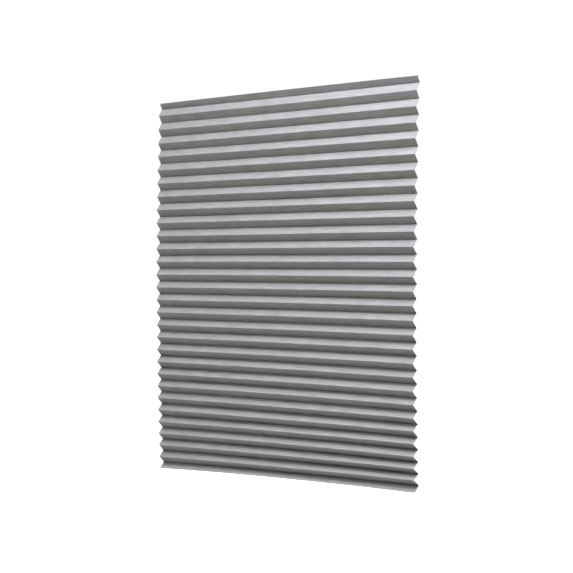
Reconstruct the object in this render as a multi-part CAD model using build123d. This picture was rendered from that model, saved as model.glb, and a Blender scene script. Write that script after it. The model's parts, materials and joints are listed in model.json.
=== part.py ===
from build123d import *
import os
from math import atan2, cos, degrees, radians, sin

# Pleated blind: one sheet pressed into horizontal pleats, with a self-adhesive strip on the
# rear face of its top facet. Millimetres and degrees. X runs along the folds, +Z is up, the
# blind's front faces -Y, and the origin is the centre of the strip's sticking face.

# Sheet, as cut and creased
sheet_width = 1200.0
facet_count = 58
facet_width = 25.6
top_facet_width = 20.2
sheet_thickness = 0.4
fold_inner_radius = 0.3
spans_across = 4

# How far the pleats have opened: each facet's angle from the vertical
angle_top = 27.6
angle_bottom = 42.7
angle_power = 0.68
right_extra_angle = 10.1
right_extra_power = 3.8

# How the hanging sheet bows towards the room and turns a little on its way down
lean_top = 2.2
lean_bottom = 2.2
turn_bottom = 0.3

# Self-adhesive strip
strip_width = 12.0
strip_thickness = 0.8
strip_end_margin = 4.0


def share_down(index):
    """Place of a facet in the sheet, from 0 at the top facet to 1 at the bottom one."""
    return index / (facet_count - 1)


def width_of_facet(index):
    """Width of a facet across its folds. The top facet is cut narrower."""
    if index == 0:
        return top_facet_width
    return facet_width


def slope_of_facet(index, side):
    """Angle of a facet from straight down, positive where it runs back, at one side edge.

    The pleats at the lower right are closed up further. The last facet hangs free below its
    fold, so it is not.
    """
    share = share_down(index)
    opening = angle_top + (angle_bottom - angle_top) * share**angle_power
    if side > 0 and index < facet_count - 1:
        opening += right_extra_angle * share**right_extra_power
    lean = lean_bottom * share - lean_top * (1 - share) - side * turn_bottom * share
    if index % 2 == 0:
        return lean + opening
    return lean - opening


def along(slope, distance):
    """Step of a length down a facet of this slope, as (y, z)."""
    return distance * sin(radians(slope)), -distance * cos(radians(slope))


def out_of(slope, distance):
    """Step of a length out of the rear face of a facet of this slope, as (y, z)."""
    return distance * cos(radians(slope)), distance * sin(radians(slope))


def top_edge():
    """Mid-thickness point of the top edge, placed so that the strip's face is at the origin."""
    slope = slope_of_facet(0, 0)
    down = along(slope, top_facet_width / 2)
    out = out_of(slope, sheet_thickness / 2 + strip_thickness)
    return -down[0] - out[0], -down[1] - out[1]


def edge_points(side):
    """Mid-thickness points of the zigzag at one side edge, from the top edge to the bottom."""
    points = [top_edge()]
    for index in range(facet_count):
        step = along(slope_of_facet(index, side), width_of_facet(index))
        points.append((points[-1][0] + step[0], points[-1][1] + step[1]))
    return points


def fold_points(across):
    """The same points anywhere across the sheet, on straight folds between its side edges."""
    share = (across + 1) / 2
    pairs = zip(edge_points(-1), edge_points(1))
    return [((1 - share) * a[0] + share * b[0], (1 - share) * a[1] + share * b[1]) for a, b in pairs]


def skin(across, offset):
    """Corners of the zigzag's rear (positive offset) or front (negative) surface."""
    middle = fold_points(across)
    slopes = [degrees(atan2(b[0] - a[0], a[1] - b[1])) for a, b in zip(middle, middle[1:])]
    start = out_of(slopes[0], offset)
    corners = [(middle[0][0] + start[0], middle[0][1] + start[1])]
    for index in range(1, facet_count):
        half_turn = radians(slopes[index] - slopes[index - 1]) / 2
        shift = out_of((slopes[index] + slopes[index - 1]) / 2, offset / cos(half_turn))
        corners.append((middle[index][0] + shift[0], middle[index][1] + shift[1]))
    end = out_of(slopes[-1], offset)
    corners.append((middle[-1][0] + end[0], middle[-1][1] + end[1]))
    return corners


def fold_radii(rear):
    """Radius of each fold on one surface: the outside of a fold is a thickness larger."""
    outer_radius = fold_inner_radius + sheet_thickness
    radii = []
    for index in range(1, facet_count):
        is_rear_fold = index % 2 == 1
        radii.append(outer_radius if is_rear_fold == rear else fold_inner_radius)
    return radii


def section(across):
    """Cross-section of the sheet: at -1 for the left edge, 0 for the middle, 1 for the right."""
    rear = skin(across, sheet_thickness / 2)
    front = skin(across, -sheet_thickness / 2)
    outline = [
        FilletPolyline(*rear, radius=fold_radii(rear=True)),
        Line(rear[-1], front[-1]),
        FilletPolyline(*front, radius=fold_radii(rear=False)),
        Line(rear[0], front[0]),
    ]
    return Plane.YZ.offset(across * sheet_width / 2) * make_face(outline)


def pleated_sheet():
    """The whole sheet: straight folds drawn from the left section to the right one, in spans."""
    places = [2 * index / spans_across - 1 for index in range(spans_across + 1)]
    return loft([section(across) for across in places], ruled=True)


def adhesive_strip():
    """Strip along the middle of the top facet's rear face, short of both side edges."""
    slope = slope_of_facet(0, 0)
    normal = out_of(slope, 1)
    face = Plane(origin=(0, 0, 0), x_dir=(1, 0, 0), z_dir=(0, normal[0], normal[1]))
    length = sheet_width - 2 * strip_end_margin
    inward = (Align.CENTER, Align.CENTER, Align.MAX)
    return face * Box(length, strip_width, strip_thickness, align=inward)


os.makedirs("parts", exist_ok=True)
export_step(pleated_sheet(), "parts/pleated_sheet.step")
export_step(adhesive_strip(), "parts/adhesive_strip.step")
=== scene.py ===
"""Looks of a cordless pleated blind: the folded sheet, its fixing strip, and a plain studio.

Everything is in metres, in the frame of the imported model: X runs along the folds, +Z is up and
the blind's front faces -Y.
"""

import json
import logging
import math
from dataclasses import dataclass
from enum import Enum
from typing import ClassVar

import bmesh
import bpy
import numpy as np
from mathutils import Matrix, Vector

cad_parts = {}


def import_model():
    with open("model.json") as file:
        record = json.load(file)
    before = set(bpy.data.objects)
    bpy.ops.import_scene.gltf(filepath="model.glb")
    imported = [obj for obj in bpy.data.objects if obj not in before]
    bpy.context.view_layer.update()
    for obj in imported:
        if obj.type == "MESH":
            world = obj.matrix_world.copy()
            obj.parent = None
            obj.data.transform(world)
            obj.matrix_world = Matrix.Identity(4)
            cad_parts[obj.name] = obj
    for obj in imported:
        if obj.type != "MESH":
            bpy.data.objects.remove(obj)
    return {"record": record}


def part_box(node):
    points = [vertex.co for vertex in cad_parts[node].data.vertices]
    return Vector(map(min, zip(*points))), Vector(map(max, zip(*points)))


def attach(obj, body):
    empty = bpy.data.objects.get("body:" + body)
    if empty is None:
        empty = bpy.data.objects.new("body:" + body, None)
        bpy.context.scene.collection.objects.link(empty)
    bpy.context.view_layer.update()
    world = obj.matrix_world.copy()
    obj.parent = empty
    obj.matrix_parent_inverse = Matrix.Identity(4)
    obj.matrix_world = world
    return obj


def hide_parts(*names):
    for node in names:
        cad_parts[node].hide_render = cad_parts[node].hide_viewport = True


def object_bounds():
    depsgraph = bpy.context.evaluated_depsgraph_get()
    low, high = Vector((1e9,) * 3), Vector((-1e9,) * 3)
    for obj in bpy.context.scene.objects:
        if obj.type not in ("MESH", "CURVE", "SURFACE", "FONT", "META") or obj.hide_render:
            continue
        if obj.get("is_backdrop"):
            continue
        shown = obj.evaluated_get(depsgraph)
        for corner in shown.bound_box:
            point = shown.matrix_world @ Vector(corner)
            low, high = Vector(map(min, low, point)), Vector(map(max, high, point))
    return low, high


MM = 0.001
Triple = tuple[float, float, float]
log = logging.getLogger("pleated_blind")


class Node(Enum):
    """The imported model's nodes."""

    SHEET = "pleated_sheet"
    STRIP = "adhesive_strip"


class Slot(Enum):
    """The record's material slots."""

    SHEET = "sheet"
    STRIP = "strip"


class NodeGraph:
    """A small helper that adds and links shader nodes."""

    MIX_SHARE, MIX_FIRST_COLOUR, MIX_SECOND_COLOUR = 0, 6, 7
    MIX_COLOUR_RESULT = 2

    def __init__(self, tree: bpy.types.NodeTree) -> None:
        """Empties the tree.

        Args:
            tree: the material's or world's node tree.
        """
        self.tree = tree
        tree.nodes.clear()

    def add(self, kind: str, **inputs: object) -> bpy.types.Node:
        """Adds a node and fills its inputs.

        Args:
            kind: the node's type, such as "ShaderNodeTexNoise".
            **inputs: values or output sockets by input name, with _ for a space.

        Returns:
            The new node.
        """
        node = self.tree.nodes.new(kind)
        for name, value in inputs.items():
            self.feed(node.inputs[name.replace("_", " ")], value)
        return node

    def feed(self, socket: bpy.types.NodeSocket, value: object) -> None:
        """Links an output socket to an input, or sets the input's value.

        Args:
            socket: the input.
            value: an output socket, or the value to set.
        """
        if isinstance(value, bpy.types.NodeSocket):
            self.tree.links.new(value, socket)
        else:
            socket.default_value = value

    def math(self, operation: str, *values: object, clamp: bool = False) -> bpy.types.NodeSocket:
        """Adds a math node.

        Args:
            operation: the node's operation, such as "MULTIPLY".
            *values: its inputs in order, numbers or sockets.
            clamp: whether the result is kept from 0 to 1.

        Returns:
            The result's socket.
        """
        node = self.tree.nodes.new("ShaderNodeMath")
        node.operation = operation
        node.use_clamp = clamp
        for socket, value in zip(node.inputs, values):
            self.feed(socket, value)
        return node.outputs[0]

    def noise(self, vector: bpy.types.NodeSocket, grain: "Grain") -> bpy.types.NodeSocket:
        """Adds a noise texture.

        Args:
            vector: the place that the noise is read at.
            grain: how fine and how detailed it is.

        Returns:
            The socket of its grey value, about 0.5 on average.
        """
        scaled = self.tree.nodes.new("ShaderNodeVectorMath")
        scaled.operation = "MULTIPLY"
        self.feed(scaled.inputs[0], vector)
        scaled.inputs[1].default_value = grain.scale
        node = self.add("ShaderNodeTexNoise", Vector=scaled.outputs[0], Scale=1.0, Detail=grain.detail)
        return node.outputs["Fac"]

    def ramp(self, value: bpy.types.NodeSocket, low: float, high: float) -> bpy.types.NodeSocket:
        """Maps a range smoothly to 0..1.

        Args:
            value: the number to map.
            low: the value that gives 0.
            high: the value that gives 1, which may be the smaller of the two.

        Returns:
            The mapped number's socket.
        """
        node = self.tree.nodes.new("ShaderNodeMapRange")
        node.interpolation_type = "SMOOTHSTEP"
        self.feed(node.inputs["Value"], value)
        node.inputs["From Min"].default_value = low
        node.inputs["From Max"].default_value = high
        return node.outputs["Result"]

    def blend(self, share: object, first: object, second: object) -> bpy.types.NodeSocket:
        """Mixes two colours.

        Args:
            share: how much of the second colour, 0 to 1, a number or a socket.
            first: the first colour or its socket.
            second: the second colour or its socket.

        Returns:
            The mixed colour's socket.
        """
        node = self.tree.nodes.new("ShaderNodeMix")
        node.data_type = "RGBA"
        self.feed(node.inputs[self.MIX_SHARE], share)
        self.feed(node.inputs[self.MIX_FIRST_COLOUR], first)
        self.feed(node.inputs[self.MIX_SECOND_COLOUR], second)
        return node.outputs[self.MIX_COLOUR_RESULT]


def grey(value: float, tint: Triple = (1.0, 1.0, 1.0)) -> tuple[float, float, float, float]:
    """Gives a tinted grey as an opaque linear colour."""
    return (value * tint[0], value * tint[1], value * tint[2], 1.0)


@dataclass(frozen=True)
class Grain:
    """A noise texture: how many waves to the metre each way, its detail and its weight in a sum."""

    scale: Triple
    detail: float
    weight: float = 1.0


@dataclass(frozen=True)
class NonWovenFinish:
    """Matt pressed non-woven sheet: laid fibres, clouding, crests lightened by rubbing and a painted
    highlight, painted shade in the rear creases, and greyed cut ends.
    """

    name: str = "non_woven_sheet"
    place: str = "flat_place"
    marks: str = "fold_marks"
    fibre_light: float = 0.480
    fibre_dark: float = 0.335
    tint: Triple = (0.995, 1.0, 0.991)
    streaks: Grain = Grain((60.0, 1500.0, 1.0), 3.0, 0.50)
    threads: Grain = Grain((350.0, 2600.0, 1.0), 2.0, 0.30)
    clouds: Grain = Grain((14.0, 26.0, 1.0), 4.0, 0.35)
    speckle: Grain = Grain((1900.0, 2300.0, 1.0), 2.0, 0.15)
    bands: Grain = Grain((16.0, 260.0, 1.0), 3.0, 0.70)
    dark_below: float = 0.74
    light_above: float = 1.26
    # front crests lightened in colour: partly rubbing, partly a painted highlight along each crest
    crest_lift: float = 0.14
    crest_reach: float = 1.6 * MM
    crest_grey: float = 0.85
    # rear creases darkened in colour: painted shade where the fold keeps its hollow out of the light
    crease_shade: float = 0.45
    crease_reach: float = 2.2 * MM
    crease_grey: float = 0.03
    end_shade: float = 0.42
    end_reach: float = 5.0 * MM
    end_grey: float = 0.10
    mark_break_base: float = 0.55
    mark_break_speckle: float = 0.9
    roughness_low: float = 0.80
    roughness_high: float = 0.96
    specular: float = 0.25
    sheen: float = 0.12
    sheen_roughness: float = 0.55
    streak_height: float = 0.8
    thread_height: float = 0.6
    fibre_relief: float = 0.12 * MM
    fibre_relief_strength: float = 0.55
    cloud_relief: float = 1.2 * MM
    cloud_relief_strength: float = 0.22

    def make(self) -> bpy.types.Material:
        """Builds the material.

        Returns:
            The material, which reads the mesh's two attributes named in the fields.
        """
        material = bpy.data.materials.new(self.name)
        material.use_nodes = True
        graph = NodeGraph(material.node_tree)
        place = self._attribute(graph, self.place)
        marks = graph.add("ShaderNodeSeparateXYZ", Vector=self._attribute(graph, self.marks))
        streaks = graph.noise(place, self.streaks)
        threads = graph.noise(place, self.threads)
        clouds = graph.noise(place, self.clouds)
        speckle = graph.noise(place, self.speckle)
        bands = graph.noise(place, self.bands)
        fibre = graph.math("MULTIPLY", threads, self.threads.weight)
        for noise, grain in (
            (streaks, self.streaks),
            (clouds, self.clouds),
            (speckle, self.speckle),
            (bands, self.bands),
        ):
            fibre = graph.math("MULTIPLY_ADD", noise, grain.weight, fibre)
        share = graph.ramp(fibre, self.dark_below, self.light_above)
        light = grey(self.fibre_light, self.tint)
        dark = grey(self.fibre_dark, self.tint)
        colour = graph.blend(share, dark, light)
        colour = self._wear_and_painted_shade(graph, colour, marks, speckle)
        shader = graph.add("ShaderNodeBsdfPrincipled", Base_Color=colour)
        spread = self.roughness_high - self.roughness_low
        roughness = graph.math("MULTIPLY_ADD", threads, spread, self.roughness_low)
        graph.feed(shader.inputs["Roughness"], roughness)
        shader.inputs["Specular IOR Level"].default_value = self.specular
        shader.inputs["Sheen Weight"].default_value = self.sheen
        shader.inputs["Sheen Roughness"].default_value = self.sheen_roughness
        graph.feed(shader.inputs["Normal"], self._relief(graph, streaks, threads, clouds))
        graph.add("ShaderNodeOutputMaterial", Surface=shader.outputs["BSDF"])
        return material

    @staticmethod
    def _attribute(graph: NodeGraph, name: str) -> bpy.types.NodeSocket:
        """Reads a named attribute of the mesh.

        Args:
            graph: the material's graph.
            name: the attribute's name.

        Returns:
            The socket of its vector.
        """
        node = graph.tree.nodes.new("ShaderNodeAttribute")
        node.attribute_type = "GEOMETRY"
        node.attribute_name = name
        return node.outputs["Vector"]

    def _wear_and_painted_shade(
        self,
        graph: NodeGraph,
        colour: bpy.types.NodeSocket,
        marks: bpy.types.Node,
        speckle: bpy.types.NodeSocket,
    ) -> bpy.types.NodeSocket:
        """Lightens front crests, partly as rubbing and partly as a painted highlight, paints shade
        into the rear creases and greys the cut ends.

        Args:
            graph: the material's graph.
            colour: the fibre colour.
            marks: distances from the nearest front crest, side cut and rear crease.
            speckle: fine noise that breaks the marks up.

        Returns:
            The worn colour's socket.
        """
        # the speckle breaks up the rubbed and highlighted crests, the painted crease shade and the
        # grey cut ends alike
        broken = graph.math("MULTIPLY_ADD", speckle, self.mark_break_speckle, self.mark_break_base)
        for output, reach, amount, mark_colour in (
            # front crests: rubbing and a painted highlight
            ("X", self.crest_reach, self.crest_lift, grey(self.crest_grey)),
            # rear creases: painted shade
            ("Z", self.crease_reach, self.crease_shade, grey(self.crease_grey)),
            ("Y", self.end_reach, self.end_shade, grey(self.end_grey)),
        ):
            near = graph.ramp(marks.outputs[output], reach, 0.0)
            share = graph.math("MULTIPLY", graph.math("MULTIPLY", near, broken), amount, clamp=True)
            colour = graph.blend(share, colour, mark_colour)
        return colour

    def _relief(
        self,
        graph: NodeGraph,
        streaks: bpy.types.NodeSocket,
        threads: bpy.types.NodeSocket,
        clouds: bpy.types.NodeSocket,
    ) -> bpy.types.NodeSocket:
        """Adds the surface's fine relief: long laid fibres over soft clouding.

        Args:
            graph: the material's graph.
            streaks: the noise of long fibres.
            threads: the noise of short fibres.
            clouds: the noise of the clouding.

        Returns:
            The bumped normal's socket.
        """
        height = graph.math("MULTIPLY", streaks, self.streak_height)
        height = graph.math("MULTIPLY_ADD", threads, self.thread_height, height)
        fine = graph.add(
            "ShaderNodeBump",
            Strength=self.fibre_relief_strength,
            Distance=self.fibre_relief,
            Height=height,
        )
        soft = graph.add(
            "ShaderNodeBump",
            Strength=self.cloud_relief_strength,
            Distance=self.cloud_relief,
            Height=clouds,
            Normal=fine.outputs["Normal"],
        )
        return soft.outputs["Normal"]


@dataclass(frozen=True)
class FoamFinish:
    """Off-white double-sided foam strip under a smooth release paper."""

    name: str = "foam_strip"
    paper: float = 0.72
    foam: float = 0.55
    warm_tint: Triple = (1.0, 0.985, 0.955)
    mottle: Grain = Grain((45.0, 300.0, 300.0), 3.0)
    foam_below: float = 0.35
    paper_above: float = 0.70
    pore_scale: float = 2600.0
    pore_shade: float = 0.25
    roughness: float = 0.62
    roughness_spread: float = 0.15
    mottle_height: float = 0.7
    pore_height: float = 0.3
    relief: float = 0.2 * MM
    relief_strength: float = 0.3

    def make(self) -> bpy.types.Material:
        """Builds the material.

        Returns:
            The material, with fine pores and a faint mottle.
        """
        material = bpy.data.materials.new(self.name)
        material.use_nodes = True
        graph = NodeGraph(material.node_tree)
        place = graph.add("ShaderNodeTexCoord").outputs["Object"]
        mottle = graph.noise(place, self.mottle)
        cells = graph.add("ShaderNodeTexVoronoi", Vector=place, Scale=self.pore_scale)
        pores = cells.outputs["Distance"]
        paper = grey(self.paper, self.warm_tint)
        foam = grey(self.foam, self.warm_tint)
        colour = graph.blend(graph.ramp(mottle, self.foam_below, self.paper_above), foam, paper)
        colour = graph.blend(graph.math("MULTIPLY", pores, self.pore_shade), colour, foam)
        shader = graph.add("ShaderNodeBsdfPrincipled", Base_Color=colour)
        roughness = graph.math("MULTIPLY_ADD", mottle, self.roughness_spread, self.roughness)
        graph.feed(shader.inputs["Roughness"], roughness)
        height = graph.math("MULTIPLY", pores, self.pore_height)
        height = graph.math("MULTIPLY_ADD", mottle, self.mottle_height, height)
        bump = graph.add(
            "ShaderNodeBump",
            Strength=self.relief_strength,
            Distance=self.relief,
            Height=height,
        )
        graph.feed(shader.inputs["Normal"], bump.outputs["Normal"])
        graph.add("ShaderNodeOutputMaterial", Surface=shader.outputs["BSDF"])
        return material


@dataclass(frozen=True)
class FloorFinish:
    """Plain pale studio floor."""

    name: str = "pale_floor"
    value: float = 0.80
    roughness: float = 0.9
    glow: float = 1.0

    def make(self) -> bpy.types.Material:
        """Builds the material.

        Returns:
            The material, a matt white that glows like a lit paper sweep.
        """
        material = bpy.data.materials.new(self.name)
        material.use_nodes = True
        graph = NodeGraph(material.node_tree)
        shader = graph.add(
            "ShaderNodeBsdfPrincipled",
            Base_Color=grey(self.value),
            Roughness=self.roughness,
        )
        shader.inputs["Emission Color"].default_value = grey(1.0)
        shader.inputs["Emission Strength"].default_value = self.glow
        graph.add("ShaderNodeOutputMaterial", Surface=shader.outputs["BSDF"])
        return material


def make_mesh_object(
    name: str,
    points: np.ndarray,
    faces: list[tuple[int, ...]],
) -> bpy.types.Object:
    """Makes a mesh object in the scene.

    Args:
        name: the object's name.
        points: the vertices, one row each.
        faces: corner indices of each face.

    Returns:
        The new object.
    """
    mesh = bpy.data.meshes.new(name)
    mesh.from_pydata(points.tolist(), [], faces)
    mesh.update()
    thing = bpy.data.objects.new(name, mesh)
    bpy.context.scene.collection.objects.link(thing)
    return thing


def grid_faces(index: np.ndarray) -> list[tuple[int, ...]]:
    """Makes the faces of a grid of points, with rows that run down and columns that run along +X.

    Args:
        index: the points' numbers, by row and column.

    Returns:
        The faces, wound to face -Y.
    """
    upper, lower = index[:-1], index[1:]
    corners = np.stack([upper[:, :-1], lower[:, :-1], lower[:, 1:], upper[:, 1:]], axis=-1)
    return [tuple(face) for face in corners.reshape(-1, 4).tolist()]


def step_down(slope: np.ndarray, distance: np.ndarray) -> np.ndarray:
    """Gives the step of a length down a facet of this slope, as (y, z)."""
    return np.stack([distance * np.sin(slope), -distance * np.cos(slope)], axis=-1)


def rear_normal(slope: np.ndarray) -> np.ndarray:
    """Gives the unit normal out of the rear of a facet of this slope, as (y, z)."""
    return np.stack([np.cos(slope), np.sin(slope)], axis=-1)


@dataclass
class PleatedSheet:
    """The folded sheet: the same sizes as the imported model, with the small faults of real cloth.

    Folds are counted from the top edge down. Even folds are front crests, odd folds are rear
    creases, and the first and last ones are the cut edges. Angles are in degrees from upright.
    They open from top to bottom, and more on the right. A lean tips both facets of a pleat the
    same way, and the turn is a lean that differs between the two sides. A spring is the extra
    slope that the press leaves beside a fold. An arch or a sag is how far the middle of a fold
    lies above or below its ends. The strip holds the first folds, so they wander less.
    """

    width: float
    top_edge: tuple[float, float]
    facets: int = 58
    facet_width: float = 25.6 * MM
    top_facet_width: float = 20.2 * MM
    thickness: float = 0.4 * MM
    angle_top: float = 27.6
    angle_bottom: float = 42.7
    angle_power: float = 0.68
    right_extra_angle: float = 10.1
    right_extra_power: float = 3.8
    lean_top: float = 2.2
    lean_bottom: float = 2.2
    turn_bottom: float = 0.3
    fold_radius: float = 0.5 * MM
    top_edge_arch: float = 0.9 * MM
    sag_top: float = 1.3 * MM
    arch_bottom: float = 3.1 * MM
    bottom_edge_arch: float = 5.0 * MM
    held_folds: float = 3.0
    fold_wander: float = 0.30 * MM
    facet_bow: float = 0.30 * MM
    wander_shift: float = 0.45
    wander_waves: tuple[float, ...] = (0.5, 1.0, 2.0, 3.5)
    crest_spring_top: float = 9.0
    crest_spring_bottom: float = 3.0
    crease_spring_top: float = 15.0
    crease_spring_bottom: float = 6.0
    spring_reach: float = 2.4 * MM
    corner_wear: float = 2.2 * MM
    corner_reach: float = 9.0 * MM
    corner_rows: int = 4
    fray: float = 0.18 * MM
    stations: int = 46
    station_inset: float = 12.0 * MM
    edge_stations: tuple[float, ...] = (0.0, 0.8 * MM, 2.0 * MM, 4.0 * MM, 7.0 * MM)
    rows_by_fold: tuple[float, ...] = (0.9 * MM, 2.0 * MM, 3.8 * MM, 7.0 * MM)
    arc_steps: int = 2
    seed: int = 7

    def build(self, finish: NonWovenFinish) -> bpy.types.Object:
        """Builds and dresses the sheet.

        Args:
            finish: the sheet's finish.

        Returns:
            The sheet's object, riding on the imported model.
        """
        across = self._stations()
        rows = SheetRows()
        self._fill_rows(rows, self._fold_lines(across))
        middle, normals = np.array(rows.points), np.array(rows.normals)
        points, faces, walls = self._skins(across, middle, normals)
        piece = make_mesh_object("sheet_cloth", points, faces)
        self._shade(piece, walls, len(rows.points), len(across))
        self._mark(piece, finish, across, rows)
        piece.data.materials.append(finish.make())
        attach(piece, "root")
        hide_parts(Node.SHEET.value)
        self.flat_length()
        log.info("%s: %d faces, flat length %.3f m", piece.name, len(faces), self.flat_length())
        return piece

    def flat_length(self) -> float:
        """Gives the length of the sheet before it was folded."""
        return float(self._widths().sum())

    def _widths(self) -> np.ndarray:
        """Lists the facets' widths.

        Returns:
            The width of each facet, from the top one down.
        """
        widths = np.full(self.facets, self.facet_width)
        widths[0] = self.top_facet_width
        return widths

    def _stations(self) -> np.ndarray:
        """Lays out the stations across the sheet.

        Returns:
            Places along X, closer together near the two side cuts.
        """
        near_edge = np.array(self.edge_stations)
        half = self.width / 2
        inner = np.linspace(-half + self.station_inset, half - self.station_inset, self.stations)
        return np.concatenate([-half + near_edge, inner, (half - near_edge)[::-1]])

    def _slopes(self, side: int) -> np.ndarray:
        """Works out how the facets slope at one side edge.

        Args:
            side: -1 for the left edge, 1 for the right.

        Returns:
            The slope of each facet in radians, positive where it runs back.
        """
        share = np.arange(self.facets) / (self.facets - 1)
        opening = self.angle_top + (self.angle_bottom - self.angle_top) * share**self.angle_power
        if side > 0:
            opening[:-1] += self.right_extra_angle * share[:-1] ** self.right_extra_power
        lean = self.lean_bottom * share - self.lean_top * (1 - share) - side * self.turn_bottom * share
        direction = np.where(np.arange(self.facets) % 2 == 0, 1, -1)
        return np.radians(lean + direction * opening)

    def _side_points(self, side: int) -> np.ndarray:
        """Works out the fold points at one side edge.

        Args:
            side: -1 for the left edge, 1 for the right.

        Returns:
            A row of (y, z) for each fold.
        """
        steps = step_down(self._slopes(side), self._widths())
        start = np.array([self.top_edge])
        return np.concatenate([start, start + np.cumsum(steps, axis=0)])

    def _fold_lines(self, across: np.ndarray) -> np.ndarray:
        """Works out the fold points at every station, with the drape and wander of a real sheet.

        Args:
            across: the stations along X.

        Returns:
            An array of fold, station and (y, z).
        """
        share = (across / self.width + 0.5)[None, :, None]
        left, right = self._side_points(-1)[:, None, :], self._side_points(1)[:, None, :]
        lines = left * (1 - share) + right * share
        folds = np.arange(self.facets + 1)
        fold_share = (folds / self.facets)[:, None]
        bulge = (1 - (2 * across / self.width) ** 2)[None, :]
        lift = self.arch_bottom * fold_share - self.sag_top * (1 - fold_share)
        lift[0] = self.top_edge_arch
        lift[-1] = self.bottom_edge_arch
        lines[:, :, 1] += lift * bulge
        looseness = np.minimum(1.0, folds / self.held_folds)[:, None]
        rng = np.random.default_rng(self.seed)
        for axis in range(2):
            lines[:, :, axis] += looseness * self._wander(rng, across, self.fold_wander)
        return lines

    def _wander(self, rng: np.random.Generator, across: np.ndarray, size: float) -> np.ndarray:
        """Draws smooth offsets for each fold along X, a few long waves each.

        Args:
            rng: the random draws.
            across: the stations along X.
            size: the offsets' usual size.

        Returns:
            The offsets by fold and station.
        """
        shift = rng.normal(0, self.wander_shift * size, (self.facets + 1, 1))
        offsets = shift * np.ones((1, len(across)))
        for waves in self.wander_waves:
            phase = rng.uniform(0, 2 * math.pi, (self.facets + 1, 1))
            height = rng.normal(0, size / (1 + waves), (self.facets + 1, 1))
            offsets += height * np.sin(2 * math.pi * waves * across[None, :] / self.width + phase)
        return offsets

    def _spring(self, fold: int) -> float:
        """Works out the extra slope that a fold keeps from the press.

        Args:
            fold: the fold's number from the top.

        Returns:
            The extra slope in radians, none at the two cut edges.
        """
        if fold in (0, self.facets):
            return 0.0
        share = fold / self.facets
        if fold % 2 == 0:
            return math.radians(self.crest_spring_top * (1 - share) + self.crest_spring_bottom * share)
        return math.radians(self.crease_spring_top * (1 - share) + self.crease_spring_bottom * share)

    def _fill_rows(self, rows: "SheetRows", folds: np.ndarray) -> None:
        """Works out every row of the sheet's middle surface, from the top edge down.

        Args:
            rows: takes the rows.
            folds: fold points by fold, station and (y, z).
        """
        curves = self._facet_curves(folds)
        flat = np.concatenate([[0.0], np.cumsum(self._widths())])
        near = np.array(self.rows_by_fold)
        for facet, curve in enumerate(curves):
            length = float(curve.length.mean())
            spots = np.concatenate([near, [length / 2], length - near[::-1]])
            if facet == 0:
                spots = np.concatenate([[0.0], spots])
            if facet == self.facets - 1:
                spots = np.concatenate([spots, [length]])
            for spot in spots:
                point, slope = curve.at(curve.length * (spot / length))
                to_fold = (spot, length - spot)
                crest, crease = to_fold if facet % 2 == 0 else to_fold[::-1]
                rows.put(point, rear_normal(slope), flat[facet] + spot, crest, crease)
            fold = facet + 1
            if fold < self.facets:
                self._round_fold(rows, curve, curves[fold], flat[fold], fold)

    def _facet_curves(self, folds: np.ndarray) -> list["FacetCurve"]:
        """Works out each facet's cross-section between its two folds.

        Args:
            folds: fold points by fold, station and (y, z).

        Returns:
            The cross-sections, from the top facet down.
        """
        steps = np.diff(folds, axis=0)
        lengths = np.linalg.norm(steps, axis=-1)
        slopes = np.arctan2(steps[..., 0], -steps[..., 1])
        rng = np.random.default_rng(self.seed + 1)
        even = np.linspace(-self.width / 2, self.width / 2, folds.shape[1])
        bows = self._wander(rng, even, self.facet_bow)
        return [
            FacetCurve(
                start=folds[facet],
                slope=slopes[facet],
                length=lengths[facet],
                bow=bows[facet],
                upper_spring=self._spring(facet),
                lower_spring=self._spring(facet + 1),
                reach=self.spring_reach,
            )
            for facet in range(self.facets)
        ]

    def _round_fold(
        self,
        rows: "SheetRows",
        above: "FacetCurve",
        below: "FacetCurve",
        place: float,
        fold: int,
    ) -> None:
        """Adds the rows of one rounded fold.

        Args:
            rows: takes the rows.
            above: the facet above the fold.
            below: the facet below the fold, which starts at the sharp fold's points.
            place: the fold's distance down the flat sheet.
            fold: the fold's number from the top.
        """
        first = above.at(above.length)[1]
        last = below.at(np.zeros_like(below.length))[1]
        turn = last - first
        reach = self.fold_radius * np.tan(np.abs(turn) / 2)
        start = below.start - step_down(first, reach)
        side = np.sign(turn)
        arc_length = self.fold_radius * float(np.mean(np.abs(turn)))
        far = self.facet_width
        for step in range(self.arc_steps + 1):
            angle = turn * step / self.arc_steps
            along = self.fold_radius * np.sin(np.abs(angle))
            inward = self.fold_radius * (1 - np.cos(angle)) * side
            point = start + step_down(first, along) + rear_normal(first) * inward[:, None]
            offset = arc_length * (step / self.arc_steps - 0.5)
            crest, crease = (abs(offset), far) if fold % 2 == 0 else (far, abs(offset))
            rows.put(point, rear_normal(first + angle), place + offset, crest, crease)

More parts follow.
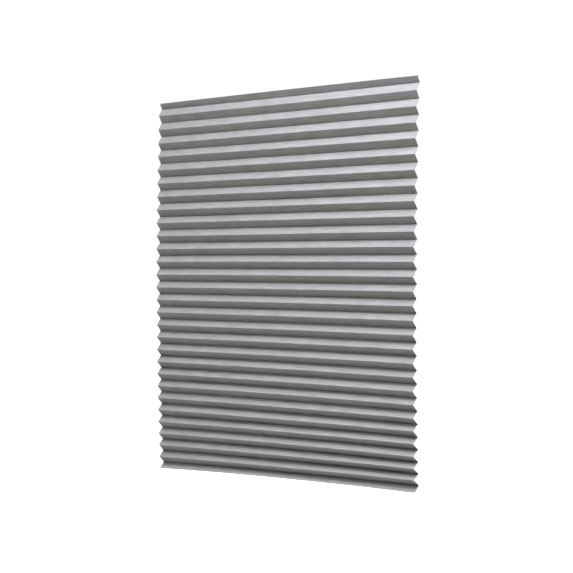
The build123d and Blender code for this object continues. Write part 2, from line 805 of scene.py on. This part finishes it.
    def _skins(
        self,
        across: np.ndarray,
        middle: np.ndarray,
        normals: np.ndarray,
    ) -> tuple[np.ndarray, list[tuple[int, ...]], int]:
        """Thickens the middle surface into a closed skin.

        Args:
            across: the stations along X.
            middle: middle points by row, station and (y, z).
            normals: rear normals by row, station and (y, z).

        Returns:
            The vertices, the faces, and how many of the last faces are the cut walls.
        """
        rows, columns = middle.shape[:2]
        rng = np.random.default_rng(self.seed + 2)
        xs = np.tile(across, (rows, 1))
        xs[:, 0] += rng.uniform(0, self.fray, rows)
        xs[:, -1] -= rng.uniform(0, self.fray, rows)
        middle = self._wear_corner(xs, middle.copy())
        skins = []
        for offset in (-self.thickness / 2, self.thickness / 2):
            skin = middle + normals * offset
            skins.append(np.dstack([xs, skin[..., 0], skin[..., 1]]).reshape(-1, 3))
        front = np.arange(rows * columns).reshape(rows, columns)
        rear = front + rows * columns
        faces = grid_faces(front) + [face[::-1] for face in grid_faces(rear)]
        skin_faces = len(faces)
        for row in range(rows - 1):
            faces.append((front[row, 0], rear[row, 0], rear[row + 1, 0], front[row + 1, 0]))
            faces.append((front[row, -1], front[row + 1, -1], rear[row + 1, -1], rear[row, -1]))
        for column in range(columns - 1):
            beside = column + 1
            faces.append((front[0, column], front[0, beside], rear[0, beside], rear[0, column]))
            faces.append((front[-1, column], rear[-1, column], rear[-1, beside], front[-1, beside]))
        return np.concatenate(skins), faces, len(faces) - skin_faces

    def _wear_corner(self, xs: np.ndarray, middle: np.ndarray) -> np.ndarray:
        """Wears the lower right corner round, by drawing the last rows up near it.

        Args:
            xs: each point's place along X, by row and station.
            middle: middle points by row, station and (y, z), which are changed.

        Returns:
            The middle points.
        """
        near = np.clip((xs[-1] - (self.width / 2 - self.corner_reach)) / self.corner_reach, 0, 1)
        upward = middle[-self.corner_rows - 1] - middle[-1]
        upward = upward / np.linalg.norm(upward, axis=-1, keepdims=True)
        for row in range(self.corner_rows):
            amount = self.corner_wear * near**2 * (1 - row / self.corner_rows)
            middle[-row - 1] += upward * amount[:, None]
        return middle

    @staticmethod
    def _shade(piece: bpy.types.Object, walls: int, rows: int, columns: int) -> None:
        """Smooths both skins and keeps the cut edges crisp.

        Args:
            piece: the sheet's object.
            walls: how many of its last faces are the cut walls.
            rows: how many rows of points each skin has.
            columns: how many points each row has.
        """
        mesh = piece.data
        smooth = np.ones(len(mesh.polygons), dtype=bool)
        smooth[len(smooth) - walls:] = False
        mesh.polygons.foreach_set("use_smooth", smooth)
        index = np.arange(rows * columns).reshape(rows, columns)
        rim = np.zeros(rows * columns * 2, dtype=bool)
        for edge in (index[0], index[-1], index[:, 0], index[:, -1]):
            rim[edge] = True
            rim[edge + rows * columns] = True
        ends = np.zeros(len(mesh.edges) * 2, dtype=np.int32)
        mesh.edges.foreach_get("vertices", ends)
        ends = ends.reshape(-1, 2)
        sharp = rim[ends[:, 0]] & rim[ends[:, 1]]
        layer = mesh.attributes.new("sharp_edge", "BOOLEAN", "EDGE")
        layer.data.foreach_set("value", sharp)

    def _mark(
        self,
        piece: bpy.types.Object,
        finish: NonWovenFinish,
        across: np.ndarray,
        rows: "SheetRows",
    ) -> None:
        """Stores each point's place on the flat sheet, and how far it is from folds and side cuts.

        The two skins lie a metre apart in the stored place, so that each has its own fibres.

        Args:
            piece: the sheet's object.
            finish: names the two attributes.
            across: the stations along X.
            rows: the sheet's rows.
        """
        count, columns = len(rows.places), len(across)
        place = np.zeros((2, count, columns, 3), np.float32)
        place[..., 0] = across[None, None, :] + self.width / 2
        place[..., 1] = np.array(rows.places)[None, :, None]
        place[1, ..., 2] = 1.0
        marks = np.zeros((2, count, columns, 3), np.float32)
        marks[..., 0] = np.array(rows.crests)[None, :, None]
        marks[..., 1] = (self.width / 2 - np.abs(across))[None, None, :]
        marks[..., 2] = np.array(rows.creases)[None, :, None]
        for name, values in ((finish.place, place), (finish.marks, marks)):
            layer = piece.data.attributes.new(name, "FLOAT_VECTOR", "POINT")
            layer.data.foreach_set("vector", values.reshape(-1))


class SheetRows:
    """The sheet's rows from the top edge down, each a line of points along X."""

    def __init__(self) -> None:
        """Starts with no rows."""
        self.points: list[np.ndarray] = []
        self.normals: list[np.ndarray] = []
        self.places: list[float] = []
        self.crests: list[float] = []
        self.creases: list[float] = []

    def put(
        self,
        point: np.ndarray,
        normal: np.ndarray,
        place: float,
        crest: float,
        crease: float,
    ) -> None:
        """Adds a row.

        Args:
            point: its (y, z) at each station.
            normal: its rear normal at each station.
            place: its distance down the flat sheet.
            crest: its distance from the nearest front crest.
            crease: its distance from the nearest rear crease.
        """
        self.points.append(point)
        self.normals.append(normal)
        self.places.append(place)
        self.crests.append(crest)
        self.creases.append(crease)


@dataclass
class FacetCurve:
    """One facet's cross-section at every station: steeper beside its folds, and slightly bowed."""

    start: np.ndarray
    slope: np.ndarray
    length: np.ndarray
    bow: np.ndarray
    upper_spring: float
    lower_spring: float
    reach: float

    def at(self, distance: np.ndarray) -> tuple[np.ndarray, np.ndarray]:
        """Finds the facet's middle surface.

        Args:
            distance: how far down the facet, for each station.

        Returns:
            The (y, z) there, and the slope there in radians.
        """
        way = np.sign(self.slope)
        reach = self.reach
        upper = np.exp(-distance / reach)
        lower = np.exp(-(self.length - distance) / reach)
        rest = np.exp(-self.length / reach)
        spread = (self.upper_spring + self.lower_spring) * reach * (1 - rest) / self.length
        rise = self.upper_spring * reach * (1 - upper) + self.lower_spring * reach * (lower - rest)
        rise = way * (rise - spread * distance)
        part = distance / self.length
        rise = rise + self.bow * 4 * part * (1 - part)
        turn = way * (self.upper_spring * upper + self.lower_spring * lower - spread)
        turn = turn + self.bow * 4 * (1 - 2 * part) / self.length
        point = self.start + step_down(self.slope, distance) + rear_normal(self.slope) * rise[:, None]
        return point, self.slope + turn


@dataclass
class AdhesiveStrip:
    """The foam strip on the rear of the top facet, with softly pressed long edges."""

    centre: Vector
    outward: Vector
    length: float
    width: float = 12.0 * MM
    thickness: float = 0.8 * MM
    edge_round: float = 0.30 * MM
    edge_steps: int = 4
    wave: float = 0.06 * MM
    wave_stations: int = 8
    stations: int = 120
    seed: int = 21

    def build(self, finish: FoamFinish) -> bpy.types.Object:
        """Builds and dresses the strip.

        Args:
            finish: the strip's finish.

        Returns:
            The strip's object.
        """
        outline = self._outline()
        faces = self._faces(len(outline))
        piece = make_mesh_object("fixing_strip", self._points(outline), faces)
        self._make_normals_point_out(piece)
        piece.data.materials.append(finish.make())
        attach(piece, "root")
        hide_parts(Node.STRIP.value)
        log.info("%s: %d faces, %.3f m long", piece.name, len(faces), self.length)
        return piece

    def _outline(self) -> list[tuple[float, float]]:
        """Draws the cross-section, with the outer edges rounded.

        Returns:
            Its points as (across, depth below the sticking face), from foot to foot.
        """
        half = self.width / 2
        corner = []
        for step in range(self.edge_steps + 1):
            angle = math.radians(90 * step / self.edge_steps)
            inset = self.edge_round * (1 - math.sin(angle))
            depth = self.edge_round * (1 - math.cos(angle))
            corner.append((inset, depth))
        left = [(-half + inset, depth) for inset, depth in reversed(corner)]
        right = [(half - inset, depth) for inset, depth in corner]
        foot = self.thickness
        return [(-half, foot)] + left + right + [(half, foot)]

    def _points(self, outline: list[tuple[float, float]]) -> np.ndarray:
        """Carries the cross-section along the strip, with a slight wave.

        Args:
            outline: the cross-section.

        Returns:
            The points, station by station.
        """
        along = np.linspace(-self.length / 2, self.length / 2, self.stations)
        knots = along[:: self.wave_stations]
        rng = np.random.default_rng(self.seed)
        shift = self.wave * np.interp(along, knots, rng.normal(0, 1, len(knots)))
        down_facet = Vector((1, 0, 0)).cross(self.outward)
        points = []
        for place, offset in zip(along, shift):
            middle = self.centre + Vector((place, 0, 0))
            for across, depth in outline:
                spot = middle + down_facet * (across + offset) - self.outward * depth
                points.append(tuple(spot))
        return np.array(points)

    def _faces(self, count: int) -> list[tuple[int, ...]]:
        """Joins the stations into a closed skin.

        Args:
            count: how many points each station has.

        Returns:
            The long faces and the two ends.
        """
        faces: list[tuple[int, ...]] = []
        for station in range(self.stations - 1):
            for corner in range(count):
                near = station * count + corner
                following = station * count + (corner + 1) % count
                faces.append((near, following, following + count, near + count))
        faces.append(tuple(reversed(range(count))))
        faces.append(tuple(range((self.stations - 1) * count, self.stations * count)))
        return faces

    @staticmethod
    def _make_normals_point_out(piece: bpy.types.Object) -> None:
        """Turns every face outward.

        Args:
            piece: the object, with a closed skin.
        """
        work = bmesh.new()
        work.from_mesh(piece.data)
        bmesh.ops.recalc_face_normals(work, faces=work.faces)
        work.to_mesh(piece.data)
        work.free()


@dataclass(frozen=True)
class SoftLight:
    """A square soft light aimed at the middle of the blind."""

    name: str
    place: Triple
    power: float
    colour: Triple
    size: float = 0.45

    def build(self, target: Vector) -> bpy.types.Object:
        """Adds the light.

        Args:
            target: the point it is aimed at.

        Returns:
            The light's object.
        """
        lamp = bpy.data.lights.new(self.name, "AREA")
        lamp.shape = "SQUARE"
        lamp.size = self.size
        lamp.energy = self.power
        lamp.color = self.colour
        thing = bpy.data.objects.new(self.name, lamp)
        thing.location = Vector(self.place)
        thing.rotation_mode = "QUATERNION"
        thing.rotation_quaternion = (target - Vector(self.place)).to_track_quat("-Z", "Y")
        thing.visible_camera = False
        bpy.context.scene.collection.objects.link(thing)
        return thing


@dataclass(frozen=True)
class DomeBand:
    """A level band of the soft dome round the studio, between two heights on the unit sphere."""

    low: float
    high: float
    strength: float
    colour: Triple = (1.0, 1.0, 1.0)


@dataclass
class Studio:
    """Floor, soft lights, pale surroundings and the camera.

    The camera's azimuth and elevation are in degrees round the blind's middle, and it slides
    across its own view. The lowest band starts below the sphere, so that it doesn't fade
    towards the bottom.
    """

    WARM: ClassVar[Triple] = (0.990, 1.0, 0.957)
    NEUTRAL: ClassVar[Triple] = (1.0, 1.0, 1.02)
    COOL: ClassVar[Triple] = (1.03, 1.0, 1.17)

    centre: Vector
    lowest: float
    floor_drop: float = 0.90
    floor_half: float = 60.0
    azimuth: float = 50.0
    elevation: float = 0.808
    distance: float = 5.5153
    slide_right: float = 0.02695
    slide_up: float = 0.00512
    lens: float = 115.37
    sensor: float = 36.0
    far_clip: float = 200.0
    band_blur: float = 0.05
    bands: tuple[DomeBand, ...] = (
        DomeBand(0.60, 0.85, 1.95, NEUTRAL),
        DomeBand(-0.85, -0.60, 0.74),
        DomeBand(-2.00, -0.85, 1.70),
    )
    lights: tuple[SoftLight, ...] = (
        SoftLight("key_light", (2.1, -1.8, 3.2), 70.0, WARM),
        SoftLight("fill_light", (1.2, -1.8, 3.2), 20.0, WARM),
        SoftLight("side_light", (2.3, -1.0, 0.4), 4.5, NEUTRAL),
        SoftLight("top_light", (1.2, -0.5, 1.5), 21.0, COOL),
        SoftLight("front_light", (1.2, -1.0, 1.5), 12.0, COOL),
        SoftLight("far_light", (0.5, -0.5, 1.5), 3.5, COOL),
    )

    def build(self) -> None:
        """Builds the whole studio."""
        self._floor()
        self._surroundings()
        for light in self.lights:
            light.build(self.centre)
        self._camera()
        settings = bpy.context.scene.view_settings
        settings.view_transform = "Standard"
        settings.look = "None"

    def _floor(self) -> None:
        """Adds the floor, well below the hanging blind. The dome stands for the light off it."""
        half, height = self.floor_half, self.lowest - self.floor_drop
        corners = [
            (-half, -half, height),
            (half, -half, height),
            (half, half, height),
            (-half, half, height),
        ]
        floor = make_mesh_object("floor", np.array(corners), [(0, 1, 2, 3)])
        floor.data.materials.append(FloorFinish().make())
        floor.visible_diffuse = False
        floor.visible_shadow = False
        floor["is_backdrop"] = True

    def _surroundings(self) -> None:
        """Makes the surroundings: white to look at, and level bands of soft light."""
        world = bpy.data.worlds.new("surroundings")
        bpy.context.scene.world = world
        world.use_nodes = True
        graph = NodeGraph(world.node_tree)
        direction = graph.add("ShaderNodeTexCoord").outputs["Generated"]
        height = graph.add("ShaderNodeSeparateXYZ", Vector=direction).outputs["Z"]
        dome = grey(0.0)
        for band in self.bands:
            above = graph.ramp(height, band.low - self.band_blur, band.low + self.band_blur)
            below = graph.ramp(height, band.high + self.band_blur, band.high - self.band_blur)
            share = graph.math("MULTIPLY", above, below)
            dome = graph.blend(share, dome, grey(band.strength, band.colour))
        seen = graph.add("ShaderNodeLightPath").outputs["Is Camera Ray"]
        colour = graph.blend(seen, dome, grey(1.0))
        background = graph.add("ShaderNodeBackground", Color=colour, Strength=1.0)
        graph.add("ShaderNodeOutputWorld", Surface=background.outputs[0])

    def _camera(self) -> None:
        """Adds the camera to the blind's right, a little above its middle."""
        azimuth, elevation = math.radians(self.azimuth), math.radians(self.elevation)
        back = Vector((
            math.sin(azimuth) * math.cos(elevation),
            -math.cos(azimuth) * math.cos(elevation),
            math.sin(elevation),
        ))
        turn = (-back).to_track_quat("-Z", "Y")
        slide = turn @ Vector((self.slide_right, self.slide_up, 0.0))
        data = bpy.data.cameras.new("camera")
        data.lens = self.lens
        data.sensor_width = self.sensor
        data.clip_end = self.far_clip
        camera = bpy.data.objects.new("camera", data)
        camera.location = self.centre + back * self.distance + slide
        camera.rotation_mode = "QUATERNION"
        camera.rotation_quaternion = turn
        bpy.context.scene.collection.objects.link(camera)
        bpy.context.scene.camera = camera


def find_mount(record: dict, name: str) -> tuple[Vector, Vector]:
    """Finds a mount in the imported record.

    Args:
        record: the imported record.
        name: the mount's name.

    Returns:
        Its position and its axis.

    Raises:
        KeyError: the record has no such mount.
    """
    for mount in record["mounts"]:
        if mount["name"] == name:
            return Vector(mount["pos_m"]), Vector(mount["axis"])
    raise KeyError(name)


def place_top_edge(
    face: Vector,
    axis: Vector,
    strip: float,
    cloth: float,
    facet: float,
) -> tuple[float, float]:
    """Works out where the sheet's top edge lies from the strip's sticking face.

    Args:
        face: the centre of the sticking face.
        axis: the face's outward normal.
        strip: the strip's thickness.
        cloth: the sheet's thickness.
        facet: the top facet's width.

    Returns:
        The top edge's (y, z), at mid-thickness.
    """
    slope = math.atan2(axis.z, axis.y)
    inward = strip + cloth / 2
    y = face.y - inward * math.cos(slope) - facet / 2 * math.sin(slope)
    z = face.z - inward * math.sin(slope) + facet / 2 * math.cos(slope)
    return y, z


def main() -> None:
    """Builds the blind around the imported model, and the studio around the blind."""
    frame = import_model()
    cad_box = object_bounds()
    low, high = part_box(Node.SHEET.value)
    strip_low, strip_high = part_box(Node.STRIP.value)
    face, axis = find_mount(frame["record"], "sticking_face")
    strip = AdhesiveStrip(centre=face, outward=axis.normalized(), length=strip_high.x - strip_low.x)
    cloth, facet = PleatedSheet.thickness, PleatedSheet.top_facet_width
    edge = place_top_edge(face, axis, strip.thickness, cloth, facet)
    sheet = PleatedSheet(width=high.x - low.x, top_edge=edge)
    Studio(centre=(cad_box[0] + cad_box[1]) / 2, lowest=low.z).build()
    for piece in (sheet.build(NonWovenFinish()), strip.build(FoamFinish())):
        log.info("built %s", piece.name)


if __name__ == "__main__":
    logging.basicConfig(level=logging.INFO, format="%(name)s: %(message)s")
    main()
